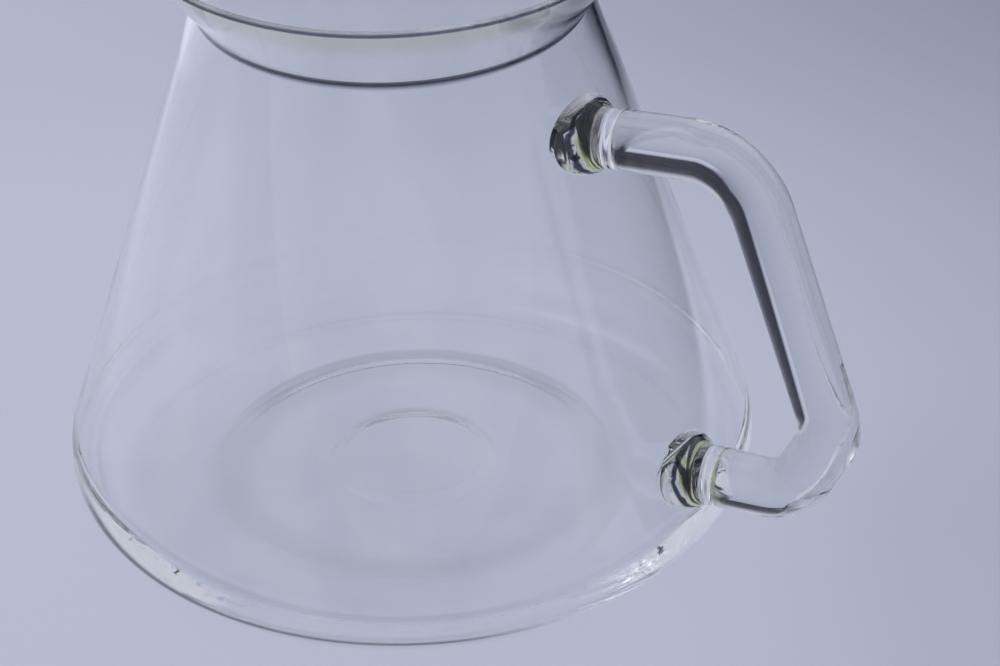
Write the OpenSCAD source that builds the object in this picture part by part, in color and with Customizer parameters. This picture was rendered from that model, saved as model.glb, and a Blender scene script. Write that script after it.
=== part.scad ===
// Coffee server carafe: a blown glass vessel with a bent glass rod for its handle
// The origin is on the vessel's axis at the table, +Z is up and the handle is on the +X side

/* [Vessel] */
// Widest outer diameter, just above the heel
body_d = 120; // [105:1:140]
// Height of the rim above the table
rim_z = 111.6; // [108:0.2:130]
// Outer diameter at the neck crease
neck_d = 66.4; // [56:0.2:76]
// Height of the neck crease above the table
neck_z = 96.4; // [90:0.2:102]
// Outer diameter across the rim
rim_d = 87; // [80:0.5:110]
// Thickness of the blown wall
wall = 1.2; // [0.8:0.1:2.4]
// Outer radius of the heel, where the wall turns under
heel_r = 10.4; // [6:0.2:14]
// Outer radius of the rounding in the neck crease
crease_r = 1.6; // [0.6:0.2:6]

/* [Base] */
// Thickness of the base
base_t = 2.4; // [1.6:0.1:4]
// Inner diameter of the flat foot ring that the vessel stands on
foot_d = 72; // [60:1:76]
// Height by which the base is pushed up inside the foot ring
push_up = 1; // [0.6:0.1:1.6]
// Radius of the soft step that the pushed-up base makes
step_r = 9; // [4:0.5:14]
// Diameter of the round mark in the middle of the base
mark_d = 30; // [16:1:40]
// Height by which the round mark is pushed up further
mark_h = 0.5; // [0.3:0.1:0.8]
// Radius of the soft step round the mark
mark_r = 4; // [1:0.5:6]

/* [Handle] */
// Diameter of the glass rod
rod_d = 10.3; // [7:0.1:13]
// Height at which the upper arm meets the wall
upper_z = 79.7; // [70:0.5:84]
// Height at which the lower arm meets the wall
lower_z = 19.7; // [17:0.5:30]
// Angle by which the upper arm rises away from the wall
upper_rise = 8.5; // [0:0.5:20]
// Angle by which the lower arm rises away from the wall
lower_rise = 7; // [0:0.5:20]
// Run of the upper arm from the wall to the corner of the handle
upper_run = 30; // [26:0.5:45]
// Run of the lower arm from the wall to where it would cross the grip
lower_run = 32.4; // [26:0.5:45]
// Radius of the upper bend, at the middle of the rod
upper_bend_r = 13; // [8:0.5:16]
// Length that the slanted corner cuts off the grip
grip_cut = 13.5; // [8:0.5:18]
// Length that the slanted corner cuts off the lower arm
arm_cut = 12.5; // [8:0.5:16]
// Radius of the bend between grip and slanted corner
grip_bend_r = 8; // [5:0.5:10]
// Radius of the bend between slanted corner and lower arm
arm_bend_r = 11; // [6:0.5:12]

/* [Welds] */
// Distance from the wall to the end of the rod, along the arm
weld_l = 5; // [4:0.5:8]
// Width of the upper weld where it spreads on the wall
upper_weld_w = 17.4; // [13:0.2:22]
// Height of the upper weld up the wall
upper_weld_h = 12.4; // [11:0.2:18]
// Width of the lower weld where it spreads on the wall
lower_weld_w = 16.4; // [13:0.2:22]
// Height of the lower weld up the wall
lower_weld_h = 12; // [11:0.2:16]

/* [Detail] */
// Steps round the vessel
round_steps = 96; // [48:8:160]
// Steps along each rounded corner of the vessel's outline
corner_steps = 10; // [4:1:20]

/* [Hidden] */
// Steps round the rod and the welds, steps along a weld, and degrees of bend to a step
ring_steps = 48;
weld_rings = 14;
bend_step = 6;
// Width of a step in the base for each unit of its height
step_slope = 5;
// Shape of a weld: how long its round lip stays full, and how sharply it then sweeps into the rod
lip_power = 2;
sweep_power = 4;
// Share of a side that the rounding of one corner may take
corner_share = 0.49;
body_r = body_d / 2;
rod_r = rod_d / 2;
glass = [0.80, 0.84, 0.90, 0.45];
rod_glass = [0.62, 0.68, 0.78, 0.7];
weld_glass = [0.62, 0.70, 0.55, 0.8];

// Unit vector at an angle, and the angle of a vector, in the plane of an outline
function along(a) = [cos(a), sin(a)];
function heading(v) = atan2(v[1], v[0]);
// Left-hand normal of the line from a to b
function left_of(a, b) = along(heading(b - a) + 90);
// Point in which the line through a along u crosses the line through b along v
function crossing(a, u, b, v) =
    let (d = b - a)
    a + u * (d[0] * v[1] - d[1] * v[0]) / (u[0] * v[1] - u[1] * v[0]);
// Corner b of the lines ab and bc, moved to their left by t
function inset_corner(a, b, c, t) =
    let (m = left_of(a, b), n = left_of(b, c))
    b + t * (m + n) / (1 + m * n);
// Angle turned at corner b, positive to the left
function turn_at(a, b, c) =
    let (u = b - a, v = c - b)
    atan2(u[0] * v[1] - u[1] * v[0], u * v);
// Largest radius that the two lines at corner b have room for, up to r
function fitting_r(a, b, c, r) =
    min(r, corner_share * min(norm(b - a), norm(c - b)) / tan(abs(turn_at(a, b, c)) / 2));
// Corner b rounded by an arc of radius r, as points
function rounded_corner(a, b, c, r) =
    let (
        turn = turn_at(a, b, c),
        fit = fitting_r(a, b, c, r),
        start = b - fit * tan(abs(turn) / 2) * along(heading(b - a)),
        side = sign(turn),
        centre = start + side * fit * left_of(a, b),
        from = heading(start - centre)
    )
    [for (i = [0 : corner_steps]) centre + fit * along(from + turn * i / corner_steps)];
// Outline through corners of the form [point, radius], where radius 0 keeps the corner sharp
function rounded_outline(corners) = [
    for (i = [0 : len(corners) - 1])
        let (
            last = len(corners) - 1,
            b = corners[i][0],
            a = corners[i == 0 ? last : i - 1][0],
            c = corners[i == last ? 0 : i + 1][0],
            r = corners[i][1]
        )
        each r > 0 ? rounded_corner(a, b, c, r) : [b]
];

// Corners of the outer wall. The cone's line touches the heel's arc and passes through the neck crease
neck_corner = [neck_d / 2, neck_z];
heel_centre = [body_r - heel_r, heel_r];
to_neck = neck_corner - heel_centre;
cone = heading(to_neck) + asin(heel_r / norm(to_neck));
heel_corner = crossing([0, 0], [1, 0], neck_corner, along(cone));
// The collar's line passes through the neck crease and touches the round edge of the rim
rim_centre = [rim_d / 2 - wall / 2, rim_z - wall / 2];
to_rim = rim_centre - neck_corner;
flare = heading(to_rim) - asin(wall / 2 / norm(to_rim));
rim_outer = rim_centre + wall / 2 * (along(flare) + along(flare - 90));
rim_inner = rim_centre + wall / 2 * (along(flare) + along(flare + 90));

// Corners of the inner wall, a wall's thickness inside the outer one
neck_inner = inset_corner(heel_corner, neck_corner, rim_outer, wall);
cone_inner = heel_corner + wall * left_of(heel_corner, neck_corner);
heel_inner = crossing([0, base_t], [1, 0], cone_inner, along(cone));

// Steps of the pushed-up base
foot_r = foot_d / 2;
mark_radius = mark_d / 2;
step_w = push_up * step_slope;
mark_w = mark_h * step_slope;
base_steps = [
    [[0, push_up + mark_h], 0],
    [[mark_radius - mark_w, push_up + mark_h], mark_r],
    [[mark_radius, push_up], mark_r],
    [[foot_r - step_w, push_up], step_r],
    [[foot_r, 0], step_r]
];
inner_steps = [
    for (i = [len(base_steps) - 1 : -1 : 0])
        [base_steps[i][0] + [0, base_t], base_steps[i][1]]
];

vessel_outline = rounded_outline(concat(
    base_steps,
    [
        [heel_corner, heel_r],
        [neck_corner, crease_r],
        [rim_outer, wall / 2],
        [rim_inner, wall / 2],
        [neck_inner, crease_r + wall],
        [heel_inner, heel_r - wall]
    ],
    inner_steps
));

// Space that the closed vessel would take, to which the welds are fitted
envelope_outline = rounded_outline([
    [[0, 0], 0],
    [heel_corner, heel_r],
    [neck_corner, crease_r],
    [rim_outer, 0],
    [[0, rim_outer[1]], 0]
]);

// Points of the handle's middle line in its plane, as [distance from the axis, height]
function on_wall(z) = crossing(neck_corner, along(cone), [0, z], [1, 0]);
upper_point = on_wall(upper_z);
lower_point = on_wall(lower_z);
upper_corner = upper_point + upper_run * [1, tan(upper_rise)];
cut_corner = lower_point + lower_run * [1, tan(lower_rise)];
grip_corner = cut_corner + grip_cut * along(heading(upper_corner - cut_corner));
arm_corner = cut_corner + arm_cut * along(heading(lower_point - cut_corner));
handle_line = [upper_point, upper_corner, grip_corner, arm_corner, lower_point];
bend_radii = [upper_bend_r, grip_bend_r, arm_bend_r];

// Arc of bend i, as stations of the form [point on the middle line, heading of the rod there]
function bend_stations(i) =
    let (
        a = handle_line[i - 1],
        b = handle_line[i],
        c = handle_line[i + 1],
        turn = turn_at(a, b, c),
        r = fitting_r(a, b, c, bend_radii[i - 1]),
        steps = ceil(abs(turn) / bend_step),
        from = heading(b - a),
        start = b - r * tan(abs(turn) / 2) * along(from),
        centre = start + sign(turn) * r * along(from + 90)
    )
    [
        for (k = [0 : steps])
            let (now = from + turn * k / steps)
            [centre - sign(turn) * r * along(now + 90), now]
    ];
rod_start = upper_point + weld_l * along(upper_rise);
rod_end = lower_point + weld_l * along(lower_rise);
stations = concat(
    [[rod_start, upper_rise]],
    [for (i = [1 : 3]) each bend_stations(i)],
    [[rod_end, lower_rise + 180]]
);

// Ring of points across a run that heads along +X, with half its width along Y and half its height along Z
function ring(x, half_w, half_h) = [
    for (j = [0 : ring_steps - 1])
        let (a = 360 * j / ring_steps)
        [x, half_w * cos(a), half_h * sin(a)]
];
// The same ring, placed at a point of the handle's plane and turned to a heading
function placed(points, at, turn) = [
    for (p = points)
        [at[0] + p[0] * cos(turn) - p[2] * sin(turn), p[1], at[1] + p[0] * sin(turn) + p[2] * cos(turn)]
];

// Closed solid through a row of rings, the first one at the start of the run
module skin(rings) {
    last = len(rings) - 1;
    sides = [
        for (i = [0 : last - 1], j = [0 : ring_steps - 1])
            let (
                k = (j + 1) % ring_steps,
                p = i * ring_steps + j,
                q = i * ring_steps + k,
                r = q + ring_steps,
                s = p + ring_steps
            )
            each [[p, q, r], [p, r, s]]
    ];
    first_cap = [for (j = [ring_steps - 1 : -1 : 0]) j];
    last_cap = [for (j = [0 : ring_steps - 1]) last * ring_steps + j];
    polyhedron([for (points = rings) each points], concat(sides, [first_cap, last_cap]), convexity = 4);
}

// Share of a weld's full size that is left at a distance t from the wall, for its hold on the wall
function hold_share(t) = 1 - pow(min(1, max(0, t) / weld_l), lip_power);
// Half-size of a weld at a distance t from the wall: a round lip, then a hollow sweep into the rod
function weld_half(half, t) = rod_r + (half - rod_r) * pow(hold_share(t), sweep_power);
// How far the round wall stands off, along the arm, from the plane across the start of the arm
function wall_offset(point, rise, side, height) =
    let (r = on_wall(point[1] + height * cos(rise))[0])
    (sqrt(r * r - side * side) - point[0] + height * sin(rise)) / cos(rise);
// Ring of a weld that is bent to the wall's roundness, less and less towards the rod
function bent_ring(x, half_w, half_h, point, rise) = [
    for (p = ring(x, half_w, half_h))
        [x + hold_share(x) * wall_offset(point, rise, p[1], p[2]), p[1], p[2]]
];

// Weld from inside the wall, out along the arm, to the end of the rod
module weld(point, rise, width, height) {
    depth = weld_l + wall;
    difference() {
        skin([
            for (i = [0 : weld_rings])
                let (
                    x = -wall + depth * i / weld_rings,
                    half_w = weld_half(width / 2, x),
                    half_h = weld_half(height / 2, x)
                )
                placed(bent_ring(x, half_w, half_h, point, rise), point, rise)
        ]);
        envelope();
    }
}

module envelope() {
    rotate_extrude($fn = round_steps)
        polygon(envelope_outline);
}

module vessel() {
    color(glass)
        rotate_extrude($fn = round_steps)
            polygon(vessel_outline);
}

module handle() {
    color(rod_glass)
        skin([for (s = stations) placed(ring(0, rod_r, rod_r), s[0], s[1])]);
}

module upper_weld() {
    color(weld_glass)
        weld(upper_point, upper_rise, upper_weld_w, upper_weld_h);
}

module lower_weld() {
    color(weld_glass)
        weld(lower_point, lower_rise, lower_weld_w, lower_weld_h);
}

vessel();
handle();
upper_weld();
lower_weld();
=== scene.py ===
import math

import bmesh
import bpy
from mathutils import Matrix, Vector


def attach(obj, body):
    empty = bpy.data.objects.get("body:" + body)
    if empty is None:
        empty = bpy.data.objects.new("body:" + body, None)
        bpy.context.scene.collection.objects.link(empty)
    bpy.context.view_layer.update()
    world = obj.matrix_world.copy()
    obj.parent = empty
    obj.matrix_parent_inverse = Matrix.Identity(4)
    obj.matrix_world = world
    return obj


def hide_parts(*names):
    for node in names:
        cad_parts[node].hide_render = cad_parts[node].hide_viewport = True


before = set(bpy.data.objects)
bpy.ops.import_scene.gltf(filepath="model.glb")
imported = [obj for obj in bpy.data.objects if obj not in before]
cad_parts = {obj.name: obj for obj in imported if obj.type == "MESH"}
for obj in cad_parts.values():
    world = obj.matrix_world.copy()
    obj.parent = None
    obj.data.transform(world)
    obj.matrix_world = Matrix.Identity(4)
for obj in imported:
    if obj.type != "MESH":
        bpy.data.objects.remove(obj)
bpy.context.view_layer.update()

MM = 0.001

# Sizes of the glass in millimetres, the same as the CAD model's
BODY_D, RIM_Z, NECK_D, NECK_Z, RIM_D = 120.0, 111.6, 66.4, 96.4, 87.0
WALL, HEEL_R, CREASE_R = 1.2, 10.4, 1.6
BASE_T, FOOT_D, PUSH_UP, STEP_R = 2.4, 72.0, 1.0, 9.0
MARK_D, MARK_H, MARK_R = 30.0, 0.5, 4.0
ROD_D, UPPER_Z, LOWER_Z, UPPER_RISE, LOWER_RISE = 10.3, 79.7, 19.7, 8.5, 7.0
UPPER_RUN, LOWER_RUN, UPPER_BEND_R = 30.0, 32.4, 13.0
GRIP_CUT, ARM_CUT, GRIP_BEND_R, ARM_BEND_R = 13.5, 12.5, 8.0, 11.0
WELD_L, LIP_POWER, SWEEP_POWER = 5.0, 2.0, 4.0
UPPER_PAD, LOWER_PAD = (17.4, 12.4), (16.4, 12.0)
STEP_SLOPE = 5.0
RIM_ROUND = 0.48  # radius of the rim's two corners, as a share of the wall

# Fineness of the meshes: steps round the axis, on an arc, round the rod and along a weld, and
# millimetres between the points of a straight
VESSEL_STEPS, ARC_STEPS, ROD_STEPS, WELD_STEPS = 288, 14, 96, 22
OUTLINE_SPACING, ROD_SPACING = 4.0, 1.5
DEGREES_PER_BEND_STEP = 2
SUNK_RINGS = [-1.2, -0.6]  # the rod starts this far inside the wall's middle, so that it fuses

# Below these a length counts as nothing: in millimetres, and in metres for welding vertices
NO_LENGTH, NEAR_AXIS, TIE, NEAR_ANGLE = 1e-9, 1e-6, 1e-7, 1e-6
CENTRE_R, NORMAL_DIGITS = 0.01, 4
SAME_PLACE = 1e-7


def along(a):
    return Vector((math.cos(a), math.sin(a)))


def heading(v):
    return math.atan2(v.y, v.x)


def left_of(a, b):
    return along(heading(b - a) + math.pi / 2)


def cross2(u, v):
    return u.x * v.y - u.y * v.x


def crossing(a, u, b, v):
    return a + u * (cross2(b - a, v) / cross2(u, v))


def inset_corner(a, b, c, t):
    m, n = left_of(a, b), left_of(b, c)
    return b + (m + n) * (t / (1 + m.dot(n)))


def turn_at(a, b, c):
    u, v = b - a, c - b
    return math.atan2(cross2(u, v), u.dot(v))


def arc_of(a, b, c, r):
    """Arc that rounds corner b: (centre, radius, first heading, turn)."""
    turn = turn_at(a, b, c)
    r = min(r, 0.49 * min((b - a).length, (c - b).length) / math.tan(abs(turn) / 2))
    start = b - along(heading(b - a)) * (r * math.tan(abs(turn) / 2))
    side = 1 if turn > 0 else -1
    centre = start + left_of(a, b) * (side * r)
    return centre, r, heading(start - centre), turn


def arc_points(a, b, c, r, steps):
    centre, r, first, turn = arc_of(a, b, c, r)
    return [centre + along(first + turn * i / steps) * r for i in range(steps + 1)]


def rounded(corners):
    """Open outline through (point, radius) corners, with points along its straights too."""
    points = [corners[0][0]]
    for i in range(1, len(corners) - 1):
        a, (b, r), c = corners[i - 1][0], corners[i], corners[i + 1][0]
        points += arc_points(a, b, c, r, ARC_STEPS) if r > 0 else [b]
    points.append(corners[-1][0])
    fine = [points[0]]
    for a, b in zip(points, points[1:]):
        n = max(1, round((b - a).length / OUTLINE_SPACING))
        fine += [a.lerp(b, k / n) for k in range(1, n + 1)]
    return fine


def exact_elements(corners):
    """Arcs and straights of the same outline, for its exact normals."""
    arcs, straights = [], []
    last = corners[0][0]
    for i in range(1, len(corners) - 1):
        a, (b, r), c = corners[i - 1][0], corners[i], corners[i + 1][0]
        if r > 0:
            centre, r, first, turn = arc_of(a, b, c, r)
            arcs.append((centre, r, first, turn))
            straights.append((last, centre + along(first) * r))
            last = centre + along(first + turn) * r
        else:
            straights.append((last, b))
            last = b
    straights.append((last, corners[-1][0]))
    return arcs, straights


def outline_normal(arcs, straights, p):
    """Unit normal, to either side, of the element that is nearest to p."""
    best, found = math.inf, None
    for a, b in straights:
        if (b - a).length < NO_LENGTH:
            continue
        t = min(1.0, max(0.0, (p - a).dot(b - a) / (b - a).length_squared))
        gap = (p - a.lerp(b, t)).length
        if gap < best:
            best, found = gap, left_of(a, b)
    for centre, r, first, turn in arcs:
        if r < NO_LENGTH or (p - centre).length < NO_LENGTH:
            continue
        middle = first + turn / 2
        off = (heading(p - centre) - middle + math.pi) % (2 * math.pi) - math.pi
        if abs(off) <= abs(turn) / 2 + NEAR_ANGLE:
            gap = abs((p - centre).length - r)
            if gap < best - TIE:
                best, found = gap, (p - centre).normalized()
    return found


# The vessel's outline
body_r = BODY_D / 2
neck_corner = Vector((NECK_D / 2, NECK_Z))
heel_centre = Vector((body_r - HEEL_R, HEEL_R))
to_neck = neck_corner - heel_centre
cone = heading(to_neck) + math.asin(HEEL_R / to_neck.length)
heel_corner = crossing(Vector((0, 0)), Vector((1, 0)), neck_corner, along(cone))
rim_centre = Vector(((RIM_D - WALL) / 2, RIM_Z - WALL / 2))
to_rim = rim_centre - neck_corner
flare = heading(to_rim) - math.asin(WALL / 2 / to_rim.length)
rim_outer = rim_centre + (along(flare) + along(flare - math.pi / 2)) * (WALL / 2)
rim_inner = rim_centre + (along(flare) + along(flare + math.pi / 2)) * (WALL / 2)
neck_inner = inset_corner(heel_corner, neck_corner, rim_outer, WALL)
cone_inner = heel_corner + left_of(heel_corner, neck_corner) * WALL
heel_inner = crossing(Vector((0, BASE_T)), Vector((1, 0)), cone_inner, along(cone))
foot_r, mark_r = FOOT_D / 2, MARK_D / 2
base_steps = [
    (Vector((0, PUSH_UP + MARK_H)), 0),
    (Vector((mark_r - MARK_H * STEP_SLOPE, PUSH_UP + MARK_H)), MARK_R),
    (Vector((mark_r, PUSH_UP)), MARK_R),
    (Vector((foot_r - PUSH_UP * STEP_SLOPE, PUSH_UP)), STEP_R),
    (Vector((foot_r, 0)), STEP_R),
]
inner_steps = [(p + Vector((0, BASE_T)), r) for p, r in reversed(base_steps)]
outline_corners = (
    base_steps
    + [
        (heel_corner, HEEL_R),
        (neck_corner, CREASE_R),
        (rim_outer, WALL * RIM_ROUND),
        (rim_inner, WALL * RIM_ROUND),
        (neck_inner, CREASE_R + WALL),
        (heel_inner, HEEL_R - WALL),
    ]
    + inner_steps
)
outline = rounded(outline_corners)
outline_arcs, outline_straights = exact_elements(outline_corners)


def lathe(points, steps):
    """Closed mesh of an outline that starts and ends on the axis, in metres."""
    bm = bmesh.new()
    rows = []
    for p in points:
        if p.x < NEAR_AXIS:
            rows.append([bm.verts.new((0, 0, p.y * MM))])
            continue
        row = []
        for k in range(steps):
            a = 2 * math.pi * (k + 0.5) / steps
            row.append(bm.verts.new((p.x * MM * math.cos(a), p.x * MM * math.sin(a), p.y * MM)))
        rows.append(row)
    for low, high in zip(rows, rows[1:]):
        for k in range(steps):
            m = (k + 1) % steps
            if len(low) == 1:
                bm.faces.new((low[0], high[m], high[k]))
            elif len(high) == 1:
                bm.faces.new((low[k], low[m], high[0]))
            else:
                bm.faces.new((low[k], low[m], high[m], high[k]))
    return bm


# The handle's middle line, in its plane
def on_wall(z):
    return crossing(neck_corner, along(cone), Vector((0, z)), Vector((1, 0)))


up, low = math.radians(UPPER_RISE), math.radians(LOWER_RISE)
upper_point, lower_point = on_wall(UPPER_Z), on_wall(LOWER_Z)
upper_corner = upper_point + Vector((1, math.tan(up))) * UPPER_RUN
cut_corner = lower_point + Vector((1, math.tan(low))) * LOWER_RUN
grip_corner = cut_corner + along(heading(upper_corner - cut_corner)) * GRIP_CUT
arm_corner = cut_corner + along(heading(lower_point - cut_corner)) * ARM_CUT


def gather_share(t):
    """Share of a weld's spread that is left at a distance t from the wall."""
    return (1 - min(1.0, max(0.0, t) / WELD_L) ** LIP_POWER) ** SWEEP_POWER


def wall_shift(point, rise, side, height):
    """How far the wall stands back, along the arm, from the plane across the arm's start."""
    z = point.y + height * math.cos(rise)
    r = on_wall(z).x
    x = math.sqrt(max(0.0, r * r - side * side))
    return (x - (point.x - height * math.sin(rise))) / math.cos(rise)


def rod_rings():
    """Rings of the rod with its gathers, from the upper end on the wall to the lower one.

    A ring is (point, heading, half width, half height, hug, share): hug is the arm's (start, rise)
    where the ring takes this share of the wall's shape, or None.
    """
    rings = []
    r = ROD_D / 2
    depth = SUNK_RINGS + [WELD_L * i / WELD_STEPS for i in range(WELD_STEPS + 1)]

    def plain_run(first, last, turn):
        n = max(1, round((last - first).length / ROD_SPACING))
        return [(first.lerp(last, k / n), turn, r, r, None, 0) for k in range(1, n)]

    def weld_ring(point, rise, turn, pad, t):
        share = gather_share(t)
        w, h = (r + (full / 2 - r) * share for full in pad)
        hug = 1 - (max(t, 0) / WELD_L) ** 2
        return point + along(rise) * t, turn, w, h, (point, rise), hug

    for t in depth:
        rings.append(weld_ring(upper_point, up, up, UPPER_PAD, t))
    line = [upper_point, upper_corner, grip_corner, arm_corner, lower_point]
    last = rings[-1][0]
    for i, bend in enumerate((UPPER_BEND_R, GRIP_BEND_R, ARM_BEND_R), start=1):
        a, b, c = line[i - 1], line[i], line[i + 1]
        turn = turn_at(a, b, c)
        steps = max(4, round(abs(math.degrees(turn)) / DEGREES_PER_BEND_STEP))
        points = arc_points(a, b, c, bend, steps)
        first = heading(b - a)
        rings += plain_run(last, points[0], first)
        rings += [(p, first + turn * k / steps, r, r, None, 0) for k, p in enumerate(points)]
        last = points[-1]
    rings += plain_run(last, lower_point + along(low) * WELD_L, low + math.pi)
    for t in reversed(depth):
        rings.append(weld_ring(lower_point, low, low + math.pi, LOWER_PAD, t))
    return rings


def sweep(rings, steps):
    """Closed mesh through the rings, in metres."""
    bm = bmesh.new()
    rows = []
    for p, turn, w, h, hug, share in rings:
        row = []
        for k in range(steps):
            a = 2 * math.pi * k / steps
            side, rise = w * math.cos(a), h * math.sin(a)
            x, z = p.x - rise * math.sin(turn), p.y + rise * math.cos(turn)
            if hug:
                flip = 1 if abs(turn) < math.pi / 2 else -1
                back = share * wall_shift(hug[0], hug[1], side, rise * flip)
                x, z = x + back * math.cos(hug[1]), z + back * math.sin(hug[1])
            row.append(bm.verts.new((x * MM, side * MM, z * MM)))
        rows.append(row)
    for a, b in zip(rows, rows[1:]):
        for k in range(steps):
            m = (k + 1) % steps
            bm.faces.new((a[k], a[m], b[m], b[k]))
    bm.faces.new(list(reversed(rows[0])))
    bm.faces.new(rows[-1])
    return bm


def to_object(bm, name, materials):
    """Links a mesh made from bm, with its faces turned outwards, as an object."""
    bmesh.ops.recalc_face_normals(bm, faces=bm.faces)
    mesh = bpy.data.meshes.new(name)
    bm.to_mesh(mesh)
    bm.free()
    for m in materials:
        mesh.materials.append(m)
    obj = bpy.data.objects.new(name, mesh)
    bpy.context.scene.collection.objects.link(obj)
    return obj


# Helpers for node trees; where one takes (gone, full) it makes a soft edge between those two values
def smooth_step(tree, value, gone, full):
    """Node that goes from 0 to 1 as value goes from gone to full."""
    n = tree.nodes.new("ShaderNodeMapRange")
    n.interpolation_type = "SMOOTHSTEP"
    n.inputs["From Min"].default_value, n.inputs["From Max"].default_value = gone, full
    tree.links.new(value, n.inputs["Value"])
    return n.outputs["Result"]


def math_node(tree, operation, *values):
    n = tree.nodes.new("ShaderNodeMath")
    n.operation = operation
    for value, socket in zip(values, n.inputs):
        if isinstance(value, (int, float)):
            socket.default_value = value
        else:
            tree.links.new(value, socket)
    return n.outputs["Value"]


def product(tree, first, *others):
    for other in others:
        first = math_node(tree, "MULTIPLY", first, other)
    return first


def mask(tree, value, *edges):
    """Product of the soft edges (gone, full) of one value."""
    return product(tree, *(smooth_step(tree, value, *edge) for edge in edges))


def mixed(tree, factor, a, b):
    """Colour that goes from a to b; each is a tuple or a socket."""
    n = tree.nodes.new("ShaderNodeMix")
    n.data_type = "RGBA"
    tree.links.new(factor, n.inputs["Factor"])
    for value, socket in ((a, n.inputs["A"]), (b, n.inputs["B"])):
        if isinstance(value, tuple):
            socket.default_value = (*value, 1)
        else:
            tree.links.new(value, socket)
    return n.outputs["Result"]


def length_of(tree, x, y):
    flat = tree.nodes.new("ShaderNodeCombineXYZ")
    tree.links.new(x, flat.inputs["X"])
    tree.links.new(y, flat.inputs["Y"])
    length = tree.nodes.new("ShaderNodeVectorMath")
    length.operation = "LENGTH"
    tree.links.new(flat.outputs["Vector"], length.inputs[0])
    return length.outputs["Value"]


# The azimuth of the photograph's camera, written as a number: no node reads the camera. A place or
# a direction is turned by it, so that "across" is the photograph's right and "far" leads away from
# where it was taken. Everything below that uses across or far was placed for that one view.
CAMERA_AZIMUTH = 35.718
FRONT_LEFT = (-0.47, -0.88)  # a direction of the photograph, as shares of across and far


def photo_axes(tree, source):
    """The sockets across, far and height of a place or direction."""
    turned = tree.nodes.new("ShaderNodeVectorRotate")
    turned.rotation_type = "Z_AXIS"
    turned.inputs["Angle"].default_value = -math.radians(CAMERA_AZIMUTH)
    tree.links.new(source, turned.inputs["Vector"])
    split = tree.nodes.new("ShaderNodeSeparateXYZ")
    tree.links.new(turned.outputs["Vector"], split.inputs["Vector"])
    return split.outputs


def weighted(tree, across, far, weights):
    return math_node(
        tree, "ADD",
        math_node(tree, "MULTIPLY", across, weights[0]),
        math_node(tree, "MULTIPLY", far, weights[1]),
    )


# Painted tints that stand in for dark lines of refraction in the photograph. They stay where they
# are on the glass, so from other sides they don't move as real refraction would.
# Painted shade: the crease, rim, heel and right-wall colours below, and the weld's two bands
COLLAR_TINT, CREASE_PAINTED_SHADE, RIM_PAINTED_SHADE = (0.87, 0.90, 0.76), (0.34, 0.37, 0.45), (0.05, 0.06, 0.085)
HEEL_PAINTED_SHADE, RIGHT_WALL_PAINTED_SHADE = (0.006, 0.009, 0.010), (0.03, 0.035, 0.045)
WELD_OLIVE_PAINTED_SHADE, WELD_DARK_PAINTED_SHADE = (0.48, 0.54, 0.22), (0.004, 0.006, 0.012)

# Where they are: soft edges (gone, full) in metres, of the height unless the name says another measure
COLLAR = ((0.1035, 0.1085), (0.1112, 0.1106))
CREASE = ((0.0956, 0.0961), (0.0972, 0.0967))
CREASE_ACROSS = (-0.031, -0.026)
RIM = ((0.1105, 0.1108), (0.1115, 0.1112))
HEEL, HEEL_FRONT_LEFT, HEEL_OUTSIDE = (0.0125, 0.0095), (0.030, 0.048), (0.0097, 0.0101)
RIGHT_WALL, RIGHT_ACROSS = (0.068, 0.084), (0.018, 0.032)
GRAZING = (0.64, 0.76)  # of Layer Weight's Facing
OLIVE_OFF_WALL = ((0.0024, 0.0028), (0.0044, 0.0040))
DARK_OFF_WALL = ((0.0013, 0.0016), (0.0024, 0.0021))
WELD_WANDER = 0.003  # how far noise moves the weld's bands

IOR = 1.47
SHADOW_TINT = (0.995, 0.995, 0.995, 1)
NOISE_DETAIL, NOISE_ROUGHNESS = 3.0, 0.5
PALE_AT, TINTED_AT = 0.35, 0.7  # of the noise


def vessel_tint_and_painted_shade(tree, place, noise, tint_and_shade):
    """Green-grey under the rim, and painted shade: dark lines at rim, crease, heel and right edge."""
    across, far, height = photo_axes(tree, place)
    tint_and_shade = mixed(tree, mask(tree, height, *COLLAR), tint_and_shade, COLLAR_TINT)
    weight = tree.nodes.new("ShaderNodeLayerWeight")
    weight.inputs["Blend"].default_value = 0.5
    grazing = smooth_step(tree, weight.outputs["Facing"], *GRAZING)
    from_heel_centre = length_of(
        tree,
        math_node(tree, "SUBTRACT", length_of(tree, across, far), heel_centre.x * MM),
        math_node(tree, "SUBTRACT", height, heel_centre.y * MM),
    )
    at_heel = product(
        tree,
        smooth_step(tree, height, *HEEL),
        smooth_step(tree, weighted(tree, across, far, FRONT_LEFT), *HEEL_FRONT_LEFT),
        smooth_step(tree, from_heel_centre, *HEEL_OUTSIDE),
    )
    at_right = product(
        tree, smooth_step(tree, height, *RIGHT_WALL), smooth_step(tree, across, *RIGHT_ACROSS)
    )
    # Painted shade: dark lines at the heel and the right wall, on faces seen at a grazing angle
    tint_and_shade = mixed(tree, product(tree, grazing, at_heel), tint_and_shade, HEEL_PAINTED_SHADE)
    tint_and_shade = mixed(tree, product(tree, grazing, at_right), tint_and_shade, RIGHT_WALL_PAINTED_SHADE)
    # Painted shade along the crease and round the rim
    crease = product(tree, mask(tree, height, *CREASE), smooth_step(tree, across, *CREASE_ACROSS))
    tint_and_shade = mixed(tree, crease, tint_and_shade, CREASE_PAINTED_SHADE)
    return mixed(tree, mask(tree, height, *RIM), tint_and_shade, RIM_PAINTED_SHADE)


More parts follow.
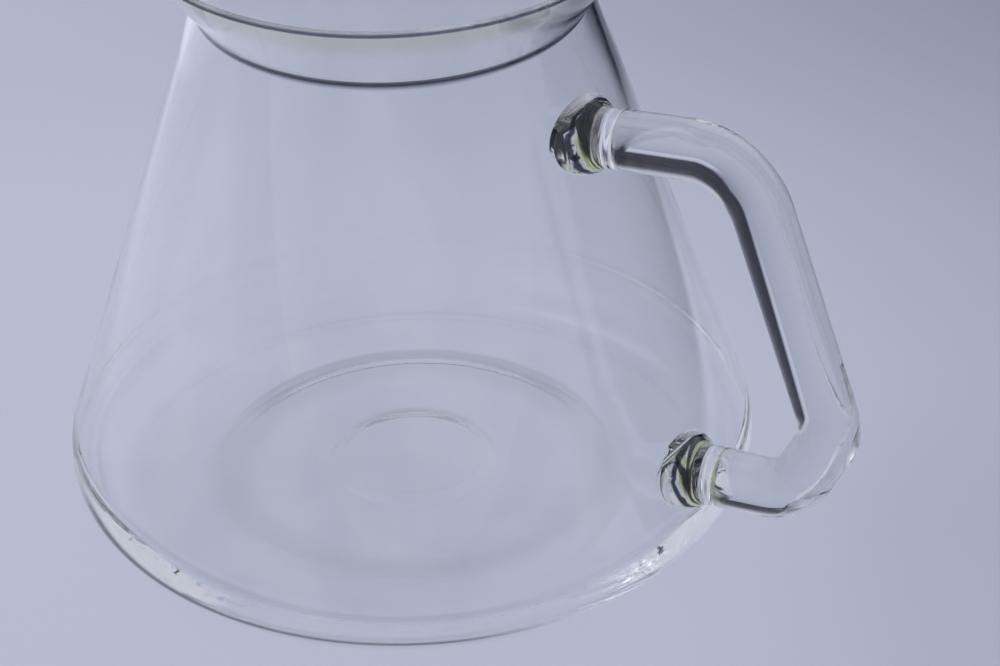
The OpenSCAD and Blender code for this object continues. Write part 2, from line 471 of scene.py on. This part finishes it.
def weld_painted_shade(tree, place, noise, tint_and_shade):
    """Painted shade: a dark and an olive band round each weld, for the photograph's S-shaped bands."""
    across, far, height = photo_axes(tree, place)
    slope = math.cos(cone) / math.sin(cone)
    wall_r = math_node(
        tree, "MULTIPLY_ADD", height, slope, (neck_corner.x - neck_corner.y * slope) * MM
    )
    off_wall = math_node(tree, "SUBTRACT", length_of(tree, across, far), wall_r)
    centred = math_node(tree, "SUBTRACT", off_wall, WELD_WANDER / 2)
    off_wall = math_node(tree, "MULTIPLY_ADD", noise, WELD_WANDER, centred)
    # Painted shade: the olive band, then the dark band nearer the wall
    with_olive = mixed(tree, mask(tree, off_wall, *OLIVE_OFF_WALL), tint_and_shade, WELD_OLIVE_PAINTED_SHADE)
    return mixed(tree, mask(tree, off_wall, *DARK_OFF_WALL), with_olive, WELD_DARK_PAINTED_SHADE)


def glass_material(name, pale, tinted, scale, stretch, bump_mm, local_tint_and_shade=None):
    """Clear glass with a faint noise in its tint and its surface; shadow rays pass almost freely."""
    m = bpy.data.materials.new(name)
    m.use_nodes = True
    tree = m.node_tree
    tree.nodes.clear()
    link = tree.links.new
    coords = tree.nodes.new("ShaderNodeTexCoord")
    place = tree.nodes.new("ShaderNodeMapping")
    place.inputs["Scale"].default_value = stretch
    link(coords.outputs["Object"], place.inputs["Vector"])
    noise = tree.nodes.new("ShaderNodeTexNoise")
    noise.inputs["Scale"].default_value = scale
    noise.inputs["Detail"].default_value = NOISE_DETAIL
    noise.inputs["Roughness"].default_value = NOISE_ROUGHNESS
    link(place.outputs["Vector"], noise.inputs["Vector"])
    ramp = tree.nodes.new("ShaderNodeValToRGB")
    first, last = ramp.color_ramp.elements
    first.position, first.color = PALE_AT, (*pale, 1)
    last.position, last.color = TINTED_AT, (*tinted, 1)
    link(noise.outputs["Fac"], ramp.inputs["Fac"])
    bump = tree.nodes.new("ShaderNodeBump")
    bump.inputs["Strength"].default_value = 1.0
    bump.inputs["Distance"].default_value = bump_mm * MM
    link(noise.outputs["Fac"], bump.inputs["Height"])
    glass = tree.nodes.new("ShaderNodeBsdfPrincipled")
    glass.inputs["Transmission Weight"].default_value = 1.0
    glass.inputs["Roughness"].default_value = 0.0
    glass.inputs["IOR"].default_value = IOR
    tint_and_shade = ramp.outputs["Color"]
    # The local function adds painted shade, and for the vessel the collar's tint too
    if local_tint_and_shade:
        tint_and_shade = local_tint_and_shade(tree, coords.outputs["Object"], noise.outputs["Fac"], tint_and_shade)
    link(tint_and_shade, glass.inputs["Base Color"])
    link(bump.outputs["Normal"], glass.inputs["Normal"])
    clear = tree.nodes.new("ShaderNodeBsdfTransparent")
    clear.inputs["Color"].default_value = SHADOW_TINT
    path = tree.nodes.new("ShaderNodeLightPath")
    past = tree.nodes.new("ShaderNodeMath")
    past.operation = "MAXIMUM"
    link(path.outputs["Is Shadow Ray"], past.inputs[0])
    link(path.outputs["Is Diffuse Ray"], past.inputs[1])
    mix = tree.nodes.new("ShaderNodeMixShader")
    out = tree.nodes.new("ShaderNodeOutputMaterial")
    link(past.outputs["Value"], mix.inputs["Fac"])
    link(glass.outputs["BSDF"], mix.inputs[1])
    link(clear.outputs["BSDF"], mix.inputs[2])
    link(mix.outputs["Shader"], out.inputs["Surface"])
    return m


def joint_material():
    """Nothing to see: closes a piece where its glass runs on into the next piece."""
    m = bpy.data.materials.new("fused_joint")
    m.use_nodes = True
    tree = m.node_tree
    tree.nodes.clear()
    clear = tree.nodes.new("ShaderNodeBsdfTransparent")
    out = tree.nodes.new("ShaderNodeOutputMaterial")
    tree.links.new(clear.outputs["BSDF"], out.inputs["Surface"])
    return m


vessel_mat = glass_material(
    "vessel_clear_glass", pale=(1.0, 1.0, 1.0), tinted=(0.94, 0.954, 0.958),
    scale=60.0, stretch=(1, 1, 0.05), bump_mm=0.03, local_tint_and_shade=vessel_tint_and_painted_shade,
)
# The rod's glass is greyer than the vessel's: partly its own colour through a thick rod, partly
# painted shade for the shadow it casts on the floor seen through it
rod_mat = glass_material(
    "rod_clear_glass", pale=(0.91, 0.915, 0.92), tinted=(0.85, 0.86, 0.86),
    scale=30.0, stretch=(1, 1, 1), bump_mm=0.01,
)
weld_mat = glass_material(
    "weld_olive_glass", pale=(0.98, 0.99, 0.98), tinted=(0.90, 0.93, 0.80),
    scale=150.0, stretch=(1, 1, 1), bump_mm=0.05, local_tint_and_shade=weld_painted_shade,
)
joint_mat = joint_material()

# The whole vessel and the whole rod, which are then fused and divided into pieces
whole_vessel = to_object(lathe(outline, VESSEL_STEPS), "whole_vessel", [vessel_mat])
whole_rod = to_object(sweep(rod_rings(), ROD_STEPS), "whole_rod", [rod_mat])


def combined(a, b, operation):
    """Mesh of an exact Boolean of a with b, whose faces keep their materials."""
    mod = a.modifiers.new("fuse", "BOOLEAN")
    mod.object, mod.operation, mod.solver, mod.material_mode = b, operation, "EXACT", "TRANSFER"
    bpy.context.view_layer.update()
    graph = bpy.context.evaluated_depsgraph_get()
    mesh = bpy.data.meshes.new_from_object(a.evaluated_get(graph))
    a.modifiers.clear()
    return mesh


def faces_of(mesh, wanted):
    """The faces that pass a test of their material's name and their centre, as a bmesh."""
    bm = bmesh.new()
    bm.from_mesh(mesh)
    names = [m.name for m in mesh.materials]
    drop = [f for f in bm.faces if not wanted(names[f.material_index], f.calc_center_median())]
    bmesh.ops.delete(bm, geom=drop, context="FACES")
    return bm


fused = combined(whole_vessel, whole_rod, "UNION")
trimmed = combined(whole_rod, whole_vessel, "DIFFERENCE")
bpy.data.objects.remove(whole_vessel)
bpy.data.objects.remove(whole_rod)


BETWEEN_ARMS = 0.05  # a height that parts the upper weld from the lower one


def in_weld(point, rise, centre):
    """Whether a face is within a weld's length of the wall, along the arm."""
    x = centre.x / MM - point.x
    z = centre.z / MM - point.y
    return x * math.cos(rise) + z * math.sin(rise) < WELD_L


def in_upper(c):
    return c.z > BETWEEN_ARMS and in_weld(upper_point, up, c)


def in_lower(c):
    return c.z < BETWEEN_ARMS and in_weld(lower_point, low, c)


known_normals = {}
rod_middle = [ring[0] for ring in rod_rings()]


def vessel_normal(v):
    """Exact normal of the blown wall at a vertex, to either side."""
    r = math.hypot(v.x, v.y) / MM
    if r < CENTRE_R:
        return Vector((0, 0, 1))
    key = (round(r, NORMAL_DIGITS), round(v.z / MM, NORMAL_DIGITS))
    if key not in known_normals:
        known_normals[key] = outline_normal(outline_arcs, outline_straights, Vector(key))
    n = known_normals[key]
    return Vector((n.x * v.x / MM / r, n.x * v.y / MM / r, n.y))


def rod_normal(v):
    """Exact normal of the round rod at a vertex, outwards."""
    at = Vector((v.x / MM, v.z / MM))
    best, middle = math.inf, None
    for a, b in zip(rod_middle, rod_middle[1:]):
        if (b - a).length < NO_LENGTH:
            continue
        t = min(1.0, max(0.0, (at - a).dot(b - a) / (b - a).length_squared))
        near = a.lerp(b, t)
        if (at - near).length < best:
            best, middle = (at - near).length, near
    return Vector((at.x - middle.x, v.y / MM, at.y - middle.y)).normalized()


def set_exact_normals(mesh, normal_at):
    """Gives the glass faces, and not the joints, the normals of the true surface."""
    exact = [normal_at(v.co) for v in mesh.vertices]
    normals = [Vector((0, 0, 0))] * len(mesh.loops)
    for face in mesh.polygons:
        if face.material_index:
            continue
        for i in face.loop_indices:
            n = exact[mesh.loops[i].vertex_index]
            normals[i] = n if n.dot(face.normal) > 0 else -n
    mesh.normals_split_custom_set(normals)


def piece(name, parts, own_material, replaces, normal_at=None):
    """Joins (bmesh, is_joint, flip) parts into one closed object that rides the root."""
    whole = bmesh.new()
    for part, is_joint, flip in parts:
        for f in part.faces:
            f.material_index = 1 if is_joint else 0
        if flip:
            bmesh.ops.reverse_faces(part, faces=part.faces)
        mesh = bpy.data.meshes.new("part")
        part.to_mesh(mesh)
        part.free()
        whole.from_mesh(mesh)
        bpy.data.meshes.remove(mesh)
    bmesh.ops.remove_doubles(whole, verts=whole.verts, dist=SAME_PLACE)
    open_edges = [e for e in whole.edges if len(e.link_faces) == 1]
    if open_edges:
        for f in bmesh.ops.holes_fill(whole, edges=open_edges, sides=0)["faces"]:
            f.material_index = 1
    for f in whole.faces:
        f.smooth = f.material_index == 0
    for e in whole.edges:
        kinds = {f.material_index for f in e.link_faces}
        e.smooth = len(kinds) == 1 or name == "vessel_glass"
    mesh = bpy.data.meshes.new(name)
    whole.to_mesh(mesh)
    whole.free()
    if normal_at:
        set_exact_normals(mesh, normal_at)
    mesh.materials.append(own_material)
    mesh.materials.append(joint_mat)
    obj = bpy.data.objects.new(name, mesh)
    bpy.context.scene.collection.objects.link(obj)
    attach(obj, "root")
    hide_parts(replaces)


def on_vessel(name, centre):
    return name == vessel_mat.name


def on_grip(name, centre):
    return name == rod_mat.name and not in_upper(centre) and not in_lower(centre)


piece(
    "vessel_glass",
    [(faces_of(fused, on_vessel), False, False), (faces_of(trimmed, on_vessel), True, True)],
    vessel_mat, "vessel", vessel_normal,
)
piece(
    "handle_glass",
    [(faces_of(trimmed, on_grip), False, False)],
    rod_mat, "handle", rod_normal,
)
for weld, inside, above in (("upper_weld", in_upper, True), ("lower_weld", in_lower, False)):
    surface = faces_of(trimmed, lambda name, c: name == rod_mat.name and inside(c))
    at_wall = faces_of(trimmed, lambda name, c: on_vessel(name, c) and (c.z > BETWEEN_ARMS) == above)
    piece(
        weld + "_glass",
        [(surface, False, False), (at_wall, True, False)],
        weld_mat, weld,
    )

# Floor: pale round the object, with painted zones. The near-black beyond its borders isn't in the
# photograph: it lies outside that frame, for the glass to show, and is plain to see in other views.
# Painted light and shade: BESIDE and the pale borders are painted light; the fading to MIDDLE and the
# near-black beyond the borders are painted shade
PALE, MIDDLE, DARK = (0.485, 0.505, 0.59), (0.22, 0.24, 0.30), (0.006, 0.008, 0.016)
BESIDE, BORDER, LEFT_BORDER = (0.63, 0.65, 0.74), (0.55, 0.57, 0.66), (0.68, 0.70, 0.79)
REACH_CENTRE, REACH, NEAR_OBJECT = (-0.32, -0.14, 0), (0.37, 0.66), (0.05, 0.09)
NEAR_FAR, BESIDE_ACROSS = (-0.13, -0.07), (-0.086, -0.125)

# The floor's right edge leans, and its far edge slopes; both bend at one place
LEAN, BEND_FAR, BEND = 0.137, (-0.05, -0.11), 0.12
SLOPE, RIGHT_PART, RIGHT_STEP = 0.094, (0.030, 0.046), 0.04
RIGHT_BORDER, RIGHT_BORDER_FAR = (0.106, 0.112), (0.12, 0.06)
FAR_BORDER, LEFT_SIDE, RIGHT_SIDE = (0.179, 0.189), (-0.03, -0.07), (0.10, 0.08)
BORDER_ACROSS = (0.02, -0.10)
FAR_EDGE, FAR_EDGE_ACROSS = (0.172, 0.240), (-0.09, -0.03)
RIGHT_EDGE, RIGHT_EDGE_FAR = (0.116, 0.134), (-0.26, -0.15)

# Faint shades painted on the floor, since the glass lets shadow rays through and casts almost no
# shadow: how strong each is, and its soft edges
RING_SHADE, RING_RADIUS = 0.10, ((0.026, 0.032), (0.038, 0.033))
UNDER_SHADE, UNDER_RADIUS, UNDER_FAR, UNDER_ACROSS = 0.09, (0.054, 0.046), (0.035, 0.0), (0.03, -0.03)
FAR_SHADE, FAR_SHADE_FAR = 0.08, (0.07, 0.17)
LOW_RIGHT_SHADE, LOW_RIGHT_ACROSS, LOW_RIGHT_FAR = 0.08, (0.04, 0.09), ((0.03, -0.03), (-0.11, -0.075))
CONTACT_SHADE, CONTACT_RADIUS = 0.12, ((0.0500, 0.0520), (0.0548, 0.0533))
CONTACT_FRONT_LEFT = (0.030, 0.045)

# A grid of this many steps and this half width, a hair under the foot so that the two never meet
FLOOR_STEPS, FLOOR_HALF, FLOOR_Z = 8, 20.0, -0.00005
FLOOR_ROUGHNESS = 0.9

floor_mat = bpy.data.materials.new("pale_floor")
floor_mat.use_nodes = True
tree = floor_mat.node_tree
surface = tree.nodes["Principled BSDF"]
surface.inputs["Roughness"].default_value = FLOOR_ROUGHNESS
surface.inputs["Specular IOR Level"].default_value = 0.0
coords = tree.nodes.new("ShaderNodeTexCoord")
across, far, _ = photo_axes(tree, coords.outputs["Object"])
radius = length_of(tree, across, far)

# Painted light beside the object and painted shade where the floor fades
# Paler beside the object, and fading with the distance from a place at the photograph's left
place = tree.nodes.new("ShaderNodeCombineXYZ")
tree.links.new(across, place.inputs["X"])
tree.links.new(far, place.inputs["Y"])
reach = tree.nodes.new("ShaderNodeVectorMath")
reach.operation = "DISTANCE"
reach.inputs[1].default_value = REACH_CENTRE
tree.links.new(place.outputs["Vector"], reach.inputs[0])
fading = product(
    tree,
    smooth_step(tree, reach.outputs["Value"], *REACH),
    smooth_step(tree, radius, *NEAR_OBJECT),
    smooth_step(tree, far, *NEAR_FAR),
)
beside = smooth_step(tree, across, *BESIDE_ACROSS)
pale = mixed(tree, beside, mixed(tree, fading, PALE, MIDDLE), BESIDE)

shades = (
    (RING_SHADE, [mask(tree, radius, *RING_RADIUS)]),
    (UNDER_SHADE, [
        smooth_step(tree, radius, *UNDER_RADIUS),
        product(tree, smooth_step(tree, far, *UNDER_FAR), smooth_step(tree, across, *UNDER_ACROSS)),
    ]),
    (FAR_SHADE, [smooth_step(tree, far, *FAR_SHADE_FAR)]),
    (LOW_RIGHT_SHADE, [
        smooth_step(tree, across, *LOW_RIGHT_ACROSS), mask(tree, far, *LOW_RIGHT_FAR)
    ]),
    (CONTACT_SHADE, [
        mask(tree, radius, *CONTACT_RADIUS),
        smooth_step(tree, weighted(tree, across, far, FRONT_LEFT), *CONTACT_FRONT_LEFT),
    ]),
)
for strength, where in shades:
    pale = mixed(tree, product(tree, *where, strength), pale, DARK)

# The pale borders, which are painted light, and the dark beyond them, which is painted shade
bend = product(tree, smooth_step(tree, far, *BEND_FAR), BEND)
leaning = math_node(tree, "SUBTRACT", across, product(tree, far, LEAN))
leaning = math_node(tree, "SUBTRACT", leaning, bend)
beyond = math_node(tree, "ADD", far, product(tree, across, SLOPE))
right_part = smooth_step(tree, across, *RIGHT_PART)
right_border = product(
    tree, smooth_step(tree, leaning, *RIGHT_BORDER), smooth_step(tree, far, *RIGHT_BORDER_FAR)
)
sides = math_node(
    tree, "MAXIMUM",
    smooth_step(tree, across, *LEFT_SIDE),
    product(tree, right_part, smooth_step(tree, across, *RIGHT_SIDE)),
)
far_border = product(tree, smooth_step(tree, beyond, *FAR_BORDER), sides)
border = math_node(tree, "MAXIMUM", right_border, far_border)
border_colour = mixed(tree, smooth_step(tree, across, *BORDER_ACROSS), BORDER, LEFT_BORDER)
darkening = math_node(tree, "SUBTRACT", beyond, product(tree, right_part, RIGHT_STEP))
far_edge = product(
    tree, smooth_step(tree, darkening, *FAR_EDGE), smooth_step(tree, across, *FAR_EDGE_ACROSS)
)
right_edge = product(
    tree, smooth_step(tree, leaning, *RIGHT_EDGE), smooth_step(tree, far, *RIGHT_EDGE_FAR)
)
edge = math_node(tree, "MAXIMUM", right_edge, far_edge)
colour = mixed(tree, edge, mixed(tree, border, pale, border_colour), DARK)
tree.links.new(colour, surface.inputs["Base Color"])
bm = bmesh.new()
bmesh.ops.create_grid(bm, x_segments=FLOOR_STEPS, y_segments=FLOOR_STEPS, size=FLOOR_HALF)
floor = to_object(bm, "floor", [floor_mat])
floor.location.z = FLOOR_Z

# World: a dim room, darkest low down at the far right, with soft patches of light. A patch is its
# turn to the right, elevation, angle at which it is full, angle at which it is gone, and colour.
LOW_WALL, ROOM, PALE_WALL = (0.44, 0.46, 0.54), (0.49, 0.51, 0.59), (0.60, 0.62, 0.72)
PALE_WALL_PATCH = (-65, 0, 20, 60)
PATCHES = [
    (-120, 22, 10, 30, (0.9, 0.92, 1.0)),
    (45, 36, 12, 34, (0.58, 0.60, 0.68)),
    (-40, 56, 6, 16, (1.2, 1.25, 1.4)),
]
DARK_SECTOR, SECTOR_EDGE = (33, 0), (0.2, 0.75)
LOW_DOWN, WALL_TO_ROOM = (0.40, 0.10), (0.05, 0.4)

world = bpy.data.worlds.new("studio")
bpy.context.scene.world = world
world.use_nodes = True
tree = world.node_tree
background = tree.nodes["Background"]
coords = tree.nodes.new("ShaderNodeTexCoord")
across, far, height = photo_axes(tree, coords.outputs["Generated"])


def toward(turn, elevation):
    """Cosine of the angle from the direction at a turn to the right of far and at an elevation."""
    a, e = math.radians(turn), math.radians(elevation)
    parts = (math.sin(a) * math.cos(e), math.cos(a) * math.cos(e), math.sin(e))
    terms = [math_node(tree, "MULTIPLY", s, v) for s, v in zip((across, far, height), parts)]
    return math_node(tree, "ADD", math_node(tree, "ADD", terms[0], terms[1]), terms[2])


def patch(turn, elevation, full, none):
    """Soft round patch that is full to one angle from its middle and gone at another."""
    edge = math.cos(math.radians(none)), math.cos(math.radians(full))
    return smooth_step(tree, toward(turn, elevation), *edge)


dark_wall = product(
    tree, smooth_step(tree, toward(*DARK_SECTOR), *SECTOR_EDGE), smooth_step(tree, height, *LOW_DOWN)
)
colour = mixed(tree, smooth_step(tree, height, *WALL_TO_ROOM), LOW_WALL, ROOM)
colour = mixed(tree, patch(*PALE_WALL_PATCH), colour, PALE_WALL)
colour = mixed(tree, dark_wall, colour, DARK)
for turn, elevation, full, none, light in PATCHES:
    colour = mixed(tree, patch(turn, elevation, full, none), colour, light)
tree.links.new(colour, background.inputs["Color"])


# The one lamp: it faces the object and lights the floor evenly, and isn't seen in the glass, which
# shows the world's patches instead
LAMP_TURN, LAMP_ELEVATION, LAMP_DISTANCE, LAMP_SIZE, LAMP_RADIANCE = -60, 65, 1.3, 1.0, 3.05
LAMP_AIM_Z = 0.05

lamp = bpy.data.lights.new("fill", "AREA")
lamp.shape, lamp.size, lamp.size_y = "RECTANGLE", LAMP_SIZE, LAMP_SIZE
lamp.energy = LAMP_RADIANCE * math.pi * LAMP_SIZE * LAMP_SIZE
lamp_obj = bpy.data.objects.new("fill", lamp)
a, e = math.radians(CAMERA_AZIMUTH - LAMP_TURN), math.radians(LAMP_ELEVATION)
out = Vector((-math.sin(a) * math.cos(e), math.cos(a) * math.cos(e), math.sin(e)))
lamp_obj.location = out * LAMP_DISTANCE + Vector((0, 0, LAMP_AIM_Z))
lamp_obj.rotation_mode = "QUATERNION"
lamp_obj.rotation_quaternion = out.to_track_quat("Z", "Y")
lamp_obj.visible_glossy = False
lamp_obj.visible_transmission = False
bpy.context.scene.collection.objects.link(lamp_obj)

# Camera, where the photograph's outlines put it: place in metres, directions, and millimetres of lens
EYE = Vector((0.38548, -0.53609, 0.44470))
FORWARD = Vector((-0.47672078, 0.69836395, -0.53387741))
UPWARD = Vector((-0.27316877, 0.45957122, 0.84508764))
LENS, SENSOR = 160.49, 36.0
CLIP = (0.01, 100.0)

forward = FORWARD.normalized()
right = forward.cross(UPWARD.normalized()).normalized()
upward = right.cross(forward)
camera = bpy.data.cameras.new("camera")
camera.lens, camera.sensor_width = LENS, SENSOR
camera.clip_start, camera.clip_end = CLIP
camera_obj = bpy.data.objects.new("camera", camera)
bpy.context.scene.collection.objects.link(camera_obj)
camera_obj.matrix_world = Matrix((
    (right.x, upward.x, -forward.x, EYE.x),
    (right.y, upward.y, -forward.y, EYE.y),
    (right.z, upward.z, -forward.z, EYE.z),
    (0, 0, 0, 1),
))

# So many bounces because a path lost in the rim or the heel leaves a dark line there
GLASS_BOUNCES, TRANSPARENT_BOUNCES = 96, 64

scene = bpy.context.scene
scene.camera = camera_obj
scene.view_settings.view_transform = "Standard"
scene.cycles.use_denoising = True
scene.cycles.caustics_refractive = False
scene.cycles.caustics_reflective = False
scene.cycles.max_bounces = GLASS_BOUNCES
scene.cycles.transmission_bounces = GLASS_BOUNCES
scene.cycles.glossy_bounces = GLASS_BOUNCES
scene.cycles.transparent_max_bounces = TRANSPARENT_BOUNCES
